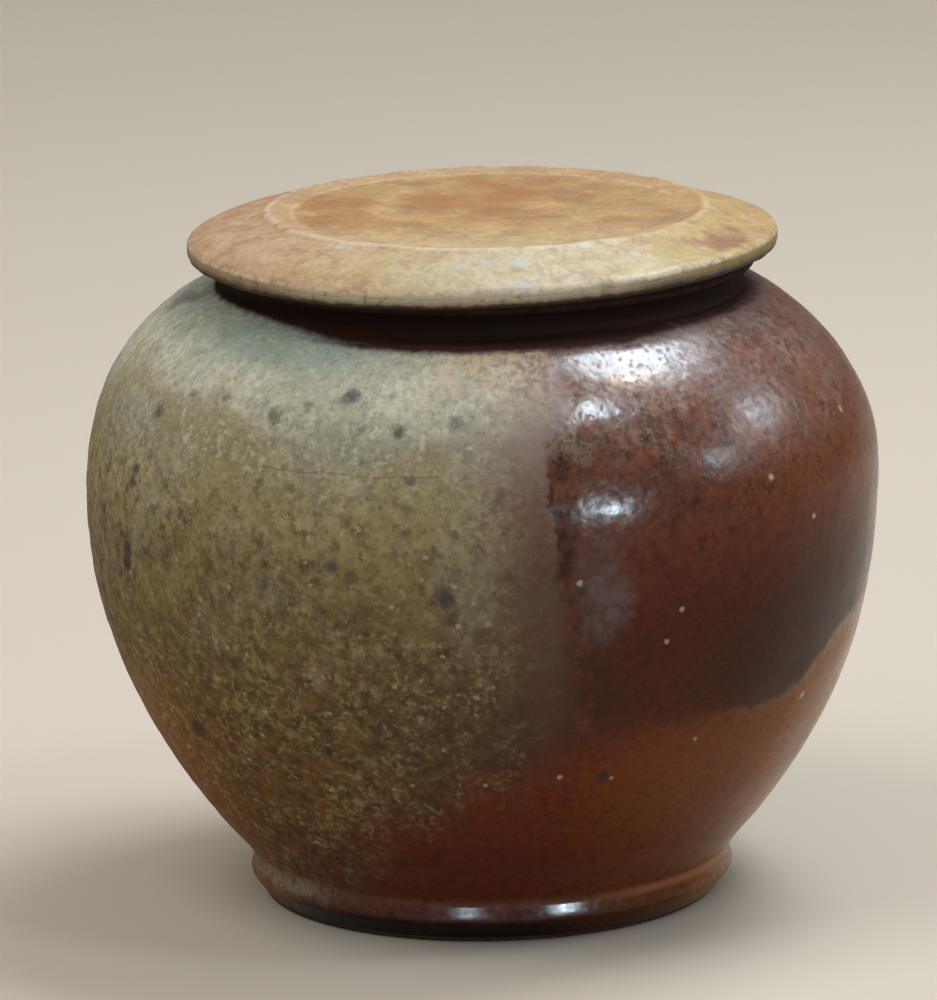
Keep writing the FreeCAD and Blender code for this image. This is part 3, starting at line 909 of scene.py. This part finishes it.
# Beside the crust: shade, the dark seam and its rust
shade_of_seam = g.all(g.band(reach, -0.24, -0.03), g.band(g.height, 108, 92), g.band(g.height, 46, 62))
brown_colour = g.laid(brown_colour, (58, 34, 25), shade_of_seam, 0.6)
brown_colour = g.laid(brown_colour, (44, 23, 14), seam, g.band(blotch, 0.34, 0.56, 0.9, 0.5))
rust_seam = g.all(g.band(reach, -0.07, -0.035), g.band(reach, 0.0, -0.02))
rust_seam = g.all(rust_seam, g.band(g.height, 104, 92), g.band(g.height, 48, 58))
rust_seam = g.all(rust_seam, g.band(blotch, 0.42, 0.60), g.band(mottle, 0.30, 0.55))
brown_colour = g.laid(brown_colour, (104, 54, 36), rust_seam, 0.75)

# Over the shoulder: a milky haze that is partly a painted sheen, and rust
haze_and_sheen_grain = g.band(g.noise(1.9, 3.0, 0.65, shift=8), 0.41, 0.62)
haze_and_sheen_cloud = g.all(haze_and_sheen_grain, g.band(g.noise(9, 1.0, shift=28), 0.28, 0.60))
haze_and_sheen = g.all(haze_and_sheen_cloud, g.band(g.height, 110, 124), g.band(g.turn, 84, 56, 0.3, 1), 0.7)
brown_colour = g.laid(brown_colour, (148, 127, 116), haze_and_sheen)
rust = g.all(g.band(g.noise(5.0, 3.0, 0.65, shift=12), 0.50, 0.62), g.band(g.height, 98, 112), 0.5)
brown_colour = g.laid(brown_colour, (128, 66, 38), rust)
print("with the brown glaze there are", len(g.tree.nodes), "nodes")

# %% [markdown]
# ### Foot, spots and bare clay
# Crust and glaze are put together here. The foot band caught some ash at the left, and at the right its
# crest has a pale orange line, thin glaze painted paler as a highlight. Round spots would look printed, so
# each list is laid where noise has stirred the place a little. The skin of the points then says what is
# bare clay and what is the liner inside. Painted shade darkens the neck under the lid, over a dark glaze,
# and a painted shadow darkens the clay at the foot's outer edge.

# %% The whole colour of the pot
colour = g.mix(ash, brown_colour, ash_colour)
foot_band = g.all(g.band(g.height, 6.2, 7.6), g.band(g.pushed(g.height, ragged, 3), 12.4, 10.2))
foot_ash = g.all(foot_band, g.band(g.turn, -34, -56), g.band(mottle, 0.3, 0.62))
colour = g.laid(colour, (140, 138, 118), foot_ash, 0.7)
# The foot band's crest: thin glaze, and a pale line painted as the highlight that the crest catches
foot_crest_and_highlight = g.all(g.band(g.height, 7.8, 8.8), g.band(g.height, 10.6, 9.6))
foot_crest_and_highlight = g.all(foot_crest_and_highlight, g.band(g.turn, 22, 40), g.band(g.turn, 110, 80))
colour = g.laid(colour, (158, 98, 62), foot_crest_and_highlight, 0.6)

# Spots and specks, and patches of painted reflection
spot_tint = g.mix(g.band(g.height, 70, 122), srgb(48, 38, 34), srgb(86, 78, 78))
colour = g.spotted(colour, IRON_SPOTS, spot_tint, on_pot, g.stirred(1.4, 1.3))
colour = g.spotted(colour, PALE_SPECKS, srgb(186, 172, 142), on_pot, g.stirred(1.0, 0.35))
sheen_breaks = g.band(g.noise(2.6, 2.0, 0.55, shift=24), 0.30, 0.66, 0.35, 1)
painted_sheen = g.spotted(colour, SHEEN_SPOTS, srgb(112, 102, 104), on_pot, g.stirred(3.5, 5))
colour = g.mix(sheen_breaks, colour, painted_sheen)

# Bare clay and the inside
skin = g.skin(ragged)
glazed = g.band(skin, 0.45, 0.6)
inner = g.band(skin, -0.45, -0.6)
clay = g.mix(g.noise(3, 3.0, shift=9), srgb(120, 84, 60), srgb(152, 116, 88))
# Painted shadow: the bare clay darkened at the outer edge of the standing ring
painted_foot_shadow = g.all(g.band(g.radius, 49.4, 50.4), g.band(g.height, 4, 2))
clay = g.laid(clay, (34, 22, 16), painted_foot_shadow, 0.8)
pool = g.mix(g.noise(6, 3.0, shift=11), srgb(52, 28, 20), srgb(92, 54, 34))
neck_start = g.plus(g.band(g.turn, -14, -62, 0, 2.7), g.band(g.turn, 28, 44, 0, 1.2))
neck_start = g.pushed(neck_start, ragged, 1.2)
neck = g.band(g.maths("SUBTRACT", g.height, neck_start), 137.4, 138.8)
# Painted shade: the neck under the lid is painted dark, darkest high up under the brim
neck_glaze_and_shade = g.mix(g.band(g.height, 140.5, 142.5), srgb(56, 31, 22), srgb(34, 17, 11))
# A pale line on the lip's edge: thin glaze, and a painted highlight for the glint under the lid
painted_lip_glint = g.all(g.band(g.height, 145.2, 145.9), g.band(g.height, 147.0, 146.4))
neck_glaze_and_shade = g.laid(neck_glaze_and_shade, (92, 64, 52), painted_lip_glint, g.band(ragged, -0.3, 0.2), 0.22)
colour = g.mix(neck, colour, neck_glaze_and_shade)
colour = g.mix(inner, g.mix(glazed, clay, colour), pool)
g.fill(g.shader.inputs["Base Color"], colour)
print("with the whole colour there are", len(g.tree.nodes), "nodes")

# %% [markdown]
# ### Gloss and grain of the pot
# Glass and crust differ most in their gloss: the brown glaze shines like wet stone, the crust is dry,
# and the neck, in the lid's shadow, is dull. Bump adds what is finer than the mesh: the sandy grain of
# the crust, and the orange peel and slow waves of a poured glaze.

# %% Gloss and grain of the pot
gloss = g.band(mottle, 0.3, 0.7, 0.17, 0.26)
crust = g.band(mottle, 0.3, 0.7, 0.78, 0.60)
gloss = g.blend(g.all(g.maths("MAXIMUM", pitted, pinholes), g.band(g.height, 121, 127)), gloss, 0.42)
dulled = g.all(g.band(g.turn, 30, 46), g.band(g.height, 98, 108))
rough = g.blend(ash, g.plus(gloss, g.all(dulled, 0.08)), crust)
rough = g.blend(neck, rough, 0.78)
rough = g.blend(g.maths("MAXIMUM", glazed, inner), 0.9, rough)
g.fill(g.shader.inputs["Roughness"], rough)
g.fill(g.shader.inputs["Specular IOR Level"], g.blend(neck, 0.15, 0.05))

fine = g.bump(g.noise(0.9, 3.0, 0.6, shift=15), 0.10, g.band(ash, 0, 1, 0.12, 0.65))
peel = g.bump(g.noise(3.1, 2.0, 0.45, shift=14), 0.34, g.band(g.height, 92, 112, 0.10, 0.36), fine)
waves = g.bump(g.noise(5.4, 1.0, shift=13), 0.30, g.band(g.height, 80, 106, 0.3, 0.6), peel)
g.fill(g.shader.inputs["Normal"], waves)
finished(pot_shape, "thrown_pot", pot_glaze.material, "pot", "pot")

# %% [markdown]
# ## The lid's glaze
# The lid lay face up in the path of the ash: a sandy crust, pinkish where the flame licked it and yellow
# on the other side, toasted orange in the dish. Glassy grey-blue drops lie mostly on the front of the
# brim and on the ridge, and their pale grey also paints their glints. Again the large marks have their
# places in lists, now by turn and radius.

# %% Places and spots on the lid
TOP_START = 152.3                # height in mm above which the outline is the lid's top
LID_TOP = sorted(glazed_part(lid_line, TOP_START))


def on_lid(turn, radius):
    """The point on the lid's top at a turn in degrees and a radius in mm."""
    return wall_place(turn, radius, stepped(LID_TOP, radius))


TOAST_SPOTS = [                  # turn in degrees, radius and size in mm, depth of colour
    (-146, 16, 13, 0.8), (158, 19, 12, 0.8), (180, 30, 9, 0.5), (-110, 33, 12, 0.5), (-75, 38, 9, 0.5),
    (-58, 31, 8, 0.4), (150, 40, 8, 0.5), (-20, 8, 7, 0.3), (130, 5, 8, 0.5),
]
SMUDGE_SPOTS = [
    (55, 58, 4.0, 0.5), (58, 61, 5.0, 0.7), (63, 60, 5.5, 0.85), (67, 62.5, 4.6, 0.7),
    (62, 64, 3.6, 0.5), (72, 60, 4.4, 0.5),
]
GLASS_DROPS_AND_GLINTS = [
    (-4.8, 56.6, 2.4, 0.6), (1, 55.6, 2.2, 0.7), (8.8, 56.1, 3.4, 0.8), (3, 65.3, 2.6, 0.7),
    (8, 65.6, 2.8, 0.7), (36.5, 57.5, 1.6, 0.9), (-41, 50.6, 1.5, 0.9), (-38, 50.9, 1.8, 1.0),
    (-35, 50.8, 1.4, 0.8), (-30, 50.5, 1.2, 0.6), (20, 50.8, 1.6, 0.6), (26, 50.6, 1.4, 0.6),
    (3, 46, 1.6, 0.6), (-16, 60, 1.6, 0.4), (17, 62, 1.8, 0.5),
]
OLIVE_SPOTS = [
    (-24, 60, 5, 0.5), (46, 58.5, 7.5, 0.7), (52, 64, 4, 0.5), (-12, 53.5, 3.5, 0.4), (30, 63.5, 4, 0.4),
]
print(len(GLASS_DROPS_AND_GLINTS), "glassy drops on the lid")

# %% [markdown]
# ### Brim and dish
# The marks on the lid follow its own shape, so the nodes first work out three places: the height on the
# brim as if it had not warped, the radius from the middle of the off-centre ridge, and rays that run
# outwards, for streaks. The brim then changes from pink over sand to yellow, from left to right, and the
# dish is toasted in its middle.

# %% Colours of brim and dish
RAY_RADIUS = 66                  # mm: the rays are laid out on a circle of this radius
RAY_STRETCH = 0.25               # and change this much more slowly outwards

lid_glaze = Glaze("pale ash crust on the lid")
g = lid_glaze
cloud = g.noise(14, 3.0, shift=2)
mottle = g.noise(1.5, 3.0, 0.65, shift=4)
blotch = g.noise(4.2, 3.0, 0.6, shift=6)
ragged = g.maths("SUBTRACT", g.noise(2.4, 3.0, shift=3), 0.5)
droop = max(-rise for turn, rise in BRIM_RISE)
brim_rise = g.graph(g.turn, [(turn, rise + droop) for turn, rise in BRIM_RISE])
flat_height = g.plus(g.maths("SUBTRACT", g.height, brim_rise), droop)
across = g.maths("SUBTRACT", g.x, (LID_SIDE + RIDGE_SIDE) * MM)
squares = g.plus(g.maths("MULTIPLY", across, across), g.maths("MULTIPLY", g.y, g.y))
ridge_radius = g.maths("DIVIDE", g.maths("SQRT", squares), MM)
ray_x = g.maths("DIVIDE", g.maths("MULTIPLY", g.x, RAY_RADIUS), g.radius)
ray_y = g.maths("DIVIDE", g.maths("MULTIPLY", g.y, RAY_RADIUS), g.radius)
ray_z = g.maths("MULTIPLY", g.radius, RAY_STRETCH * MM)
rays = g.add("ShaderNodeCombineXYZ", X=ray_x, Y=ray_y, Z=ray_z).outputs[0]
streaks = g.noise(1.5, 2.0, 0.6, where=rays, shift=21)

# The brim: pink on the left, sandy in front, yellow on the right
brim = g.mix(g.band(g.x, -68 * MM, -26 * MM), srgb(182, 144, 112), srgb(185, 158, 116))
brim = g.laid(brim, (178, 148, 76), g.band(g.x, 16 * MM, 52 * MM))
front = g.all(g.band(g.y, -30 * MM, -56 * MM), g.band(g.x, -30 * MM, -4 * MM))
brim = g.laid(brim, (184, 173, 140), front, 0.75)
behind = g.all(g.band(g.y, -5 * MM, 35 * MM), g.band(g.x, 66 * MM, 20 * MM, 0.4, 1))
brim = g.laid(brim, (170, 120, 86), behind, 0.8)
brim = g.laid(brim, (168, 128, 84), g.band(cloud, 0.5, 0.66), g.blend(front, 0.45, 0.15))
pale_patch = g.band(g.noise(6, 2.0, shift=37), 0.50, 0.64)
brim = g.laid(brim, (196, 164, 122), pale_patch, g.blend(front, 0.5, 0.1))

# The dish: toasted in the middle, pale towards the front
dish = g.mix(g.all(g.band(cloud, 0.40, 0.60), 0.75), srgb(178, 141, 82), srgb(156, 106, 50))
dish = g.laid(dish, (190, 167, 118), g.band(g.y, -8 * MM, -46 * MM), 0.85)
inside_ridge = g.band(g.pushed(ridge_radius, ragged, 1.5), 49.2, 48.6)
colour = g.mix(inside_ridge, brim, dish)

# The ridge: the sloping band inside it, the line where that meets the dish, and its crest, worn pale
# and painted paler still as a highlight where it catches the light
sloped = g.all(g.band(ridge_radius, 43.8, 44.8), g.band(ridge_radius, 49.4, 48.6))
aside = g.maths("MAXIMUM", g.band(g.turn, -50, -75), g.band(g.turn, 95, 120))
colour = g.laid(colour, (182, 146, 106), sloped, g.blend(aside, 0.4, 0.7))
dish_line = g.all(g.band(ridge_radius, 43.0, 43.8), g.band(ridge_radius, 45.2, 44.2), aside)
colour = g.laid(colour, (210, 184, 142), dish_line, g.band(blotch, 0.3, 0.5), 0.4)
crest = g.all(g.band(ridge_radius, 48.5, 49.5), g.band(ridge_radius, 51.2, 50.0))
crest = g.all(crest, g.band(blotch, 0.24, 0.5))
crest = g.all(crest, g.maths("MAXIMUM", g.all(aside, 0.7), g.band(g.turn, 35, 15, 0.35, 0.8)))
colour = g.laid(colour, (212, 193, 164), crest, 0.75)
print("brim and dish take", len(g.tree.nodes), "nodes")

# %% [markdown]
# ### Grain and marks of the lid
# A sandy mottle covers the whole lid. Dark and pale patches break it up, streaks run outwards over the
# front of the brim, and the marks in the lists are laid over them, stirred by noise as on the pot.

# %% Grain and marks of the lid
darkest, palest = g.blend(inside_ridge, 0.86, 0.89), g.blend(inside_ridge, 1.13, 1.10)
colour = g.varied(colour, mottle, 0.3, 0.7, darkest, palest)
uneven_dish = g.band(g.noise(7, 2.0, shift=23), 0.35, 0.65, 0.90, 1.08)
colour = g.tone(colour, g.blend(inside_ridge, 1.0, uneven_dish))
colour = g.tone(colour, g.blend(g.all(front, 0.8), 1.0, g.band(streaks, 0.3, 0.7, 0.90, 1.09)))
dark_patch = g.all(g.band(blotch, 0.50, 0.34), g.blend(front, 0.5, 0.2))
colour = g.laid(colour, (150, 106, 62), dark_patch)
colour = g.laid(colour, (208, 184, 136), g.band(blotch, 0.54, 0.68), 0.3)
colour = g.spotted(colour, TOAST_SPOTS, srgb(154, 96, 22), on_lid, g.stirred(6, 5))
colour = g.spotted(colour, OLIVE_SPOTS, srgb(170, 148, 74), on_lid, g.stirred(2.2, 1.6))
colour = g.spotted(colour, SMUDGE_SPOTS, srgb(130, 66, 8), on_lid, g.stirred(2.4, 3.6))
# Drops of glass, painted pale grey, which also stands in for their glints
colour = g.spotted(colour, GLASS_DROPS_AND_GLINTS, srgb(182, 184, 184), on_lid, g.stirred(1.7, 1.4))
print("with the marks there are", len(g.tree.nodes), "nodes")

# %% [markdown]
# ### The side of the brim
# The brim's side is less than 5 mm high, but it faces the eye, so it gets its own colours: a pale line
# along the top edge, a painted highlight where the rounded edge catches the light, greyish green below it
# with a groove from the turning tool, yellow on the right, painted shade on its lower part, and painted
# shade underneath.

# %% Side of the brim
uneven = g.pushed(flat_height, ragged, 1.6)
nicks = g.band(g.noise(2.2, 2.0, 0.6, shift=20), 0.42, 0.34)
# Painted highlight: a pale line along the brim's rounded top edge
edge_highlight = g.all(g.band(uneven, 151.2, 151.7), g.band(uneven, 152.6, 152.1))
edge_highlight = g.all(edge_highlight, g.band(g.radius, 65.0, 65.8), g.band(mottle, 0.36, 0.56))
brim_side = g.all(g.band(g.radius, 64.8, 65.8), g.band(uneven, 151.8, 151.1))
yellow_side = g.all(g.band(g.turn, 36, 56), g.band(g.turn, 100, 84))
lit_side = g.all(g.band(g.turn, -48, -30), g.band(g.turn, 36, 24))
side_colour = g.mix(lit_side, srgb(150, 128, 102), srgb(178, 168, 140))
side_colour = g.laid(side_colour, (138, 122, 52), yellow_side)
# Painted shade: the lower part of the side, rounding under towards the seat, is darker
lower_side_shade = g.mix(lit_side, srgb(104, 92, 70), srgb(150, 138, 112))
side_colour = g.mix(g.band(uneven, 150.7, 149.9), side_colour, lower_side_shade)
groove = g.all(g.band(flat_height, 150.55, 150.75), g.band(flat_height, 151.05, 150.85))
groove = g.all(groove, g.band(blotch, 0.40, 0.56))
side_colour = g.laid(side_colour, (92, 78, 56), groove, 0.45)
side_colour = g.laid(side_colour, (70, 60, 46), nicks, 0.45)
colour = g.laid(colour, (206, 194, 170), edge_highlight, 0.6)
colour = g.mix(g.all(brim_side, 0.9), colour, side_colour)
# Painted shade: dark under the brim
colour = g.laid(colour, (62, 46, 34), g.band(uneven, 149.9, 148.9))
print("with the side of the brim there are", len(g.tree.nodes), "nodes")

# %% [markdown]
# ### Clay and gloss of the lid
# Under the brim the seat and the spigot are bare clay, because glaze there would weld the lid to the
# pot. The crust on top is dry and sandy, and only a little wetter at the front of the brim.

# %% Clay and gloss of the lid
glazed = g.band(g.skin(ragged), 0.45, 0.6)
clay = g.mix(g.noise(3, 3.0, shift=9), srgb(126, 88, 62), srgb(160, 122, 92))
colour = g.mix(glazed, clay, colour)
g.fill(g.shader.inputs["Base Color"], colour)

wet = g.all(front, g.band(blotch, 0.4, 0.55))
rough = g.blend(wet, g.band(mottle, 0.3, 0.7, 0.76, 0.58), 0.54)
g.fill(g.shader.inputs["Roughness"], rough)
g.shader.inputs["Specular IOR Level"].default_value = 0.25
fine = g.bump(g.noise(0.9, 3.0, 0.6, shift=15), 0.14, 0.6)
coarse = g.bump(g.noise(2.8, 3.0, 0.6, shift=16), 0.22, 0.6, fine)
g.fill(g.shader.inputs["Normal"], coarse)
finished(lid_shape, "dished_lid", lid_glaze.material, "lid", "lid")

# %% [markdown]
# ## The floor
# The pot stands on a plain cream floor that runs far behind it, so no edge or corner shows. It is a
# stage, and no part of the pot.

# %% Floor
FLOOR_REACH = 4                  # metres from the pot to each edge

floor_shape = bmesh.new()
bmesh.ops.create_grid(floor_shape, x_segments=1, y_segments=1, size=FLOOR_REACH)
floor_mesh = bpy.data.meshes.new("floor")
floor_shape.to_mesh(floor_mesh)
floor_shape.free()
floor = bpy.data.objects.new("floor", floor_mesh)
scene.collection.objects.link(floor)
paper = bpy.data.materials.new("cream paper")
paper.use_nodes = True
paper_shader = paper.node_tree.nodes["Principled BSDF"]
paper_shader.inputs["Base Color"].default_value = srgb(206, 196, 180)
paper_shader.inputs["Roughness"].default_value = 0.9
floor_mesh.materials.append(paper)
print("the floor is", 2 * FLOOR_REACH, "m wide")

# %% [markdown]
# ## The lamps
# Two large soft lamps, one over the pot and one at the left, and two weak boxes light the surfaces. A
# glossy glaze also shows its lamps as bright windows, so their size and place matter. The windows here
# light gloss alone: they draw the few sharp highlights without making anything paler. All are cool but
# two, a warm one behind the pot and another at its right.

# %% Lamps
LAMP_AIM = Vector((0, 0, 90 * MM))


def lamp(name, turn, rise, distance, width, height, power, gloss_only=False, tint=(1, 1, 1)):
    """A soft box that faces the pot. Turn and rise are in degrees, the lengths in m, the power in W."""
    light = bpy.data.lights.new(name, "AREA")
    light.shape = "RECTANGLE"
    light.size = width
    light.size_y = height
    light.energy = power
    light.color = tint
    stand = bpy.data.objects.new(name, light)
    across = math.radians(turn)
    up = math.radians(rise)
    way = Vector((math.sin(across) * math.cos(up), -math.cos(across) * math.cos(up), math.sin(up)))
    stand.location = LAMP_AIM + way * distance
    stand.rotation_euler = way.to_track_quat("Z", "Y").to_euler()
    stand.visible_camera = False
    stand.visible_diffuse = not gloss_only
    scene.collection.objects.link(stand)


COOL = (0.68, 0.87, 1.0)
WARM = (1.0, 0.82, 0.6)
lamp("overhead lamp", 125, 64, 1.6, 0.9, 0.6, 13)
lamp("left lamp", -58, 58, 1.8, 1.0, 1.0, 11)
lamp("high front box", 50, 58, 1.6, 0.25, 0.25, 1.5)
lamp("right box", 90, 28, 1.5, 0.4, 0.25, 1.5)
lamp("overhead window", 124, 64, 1.6, 0.56, 0.62, 60, True, COOL)
lamp("high window", 50, 58, 1.6, 0.18, 0.12, 21, True, COOL)
lamp("right window", 100, 30, 1.5, 0.24, 0.18, 11, True, COOL)
lamp("pale window", 73, 23, 1.5, 0.22, 0.20, 4.5, True, COOL)
lamp("front right window", 34, 9, 1.5, 0.12, 0.045, 19, True, COOL)
lamp("low left window", -12, 8, 1.5, 0.14, 0.06, 8, True, COOL)
lamp("warm rear window", 165, 50, 1.5, 0.22, 0.16, 5, True, WARM)
lamp("warm side window", 93, 62, 1.5, 0.10, 0.05, 9, True, WARM)
print(len(bpy.data.lights), "lamps")

# %% [markdown]
# ## The room
# An even, slightly warm light from all sides fills the shadows. A real room is dimmer than that where a
# glaze mirrors it, so glossy rays see a darker room, and the brown glaze keeps its depth.

# %% Room
SKY_LIGHT = 0.36                 # the even light on the surfaces
SKY_GLOSS = 0.12                 # how bright gloss shows the room

world = bpy.data.worlds.new("studio")
world.use_nodes = True
sky = world.node_tree.nodes["Background"]
sky.inputs["Color"].default_value = (1.0, 0.97, 0.93, 1)
path = world.node_tree.nodes.new("ShaderNodeLightPath")
strength = world.node_tree.nodes.new("ShaderNodeMath")
strength.operation = "MULTIPLY_ADD"
strength.inputs[1].default_value = SKY_GLOSS - SKY_LIGHT
strength.inputs[2].default_value = SKY_LIGHT
world.node_tree.links.new(path.outputs["Is Glossy Ray"], strength.inputs[0])
world.node_tree.links.new(strength.outputs[0], sky.inputs["Strength"])
scene.world = world
scene.view_settings.view_transform = "Standard"
print("the room's light is", SKY_LIGHT, "and its gloss", SKY_GLOSS)
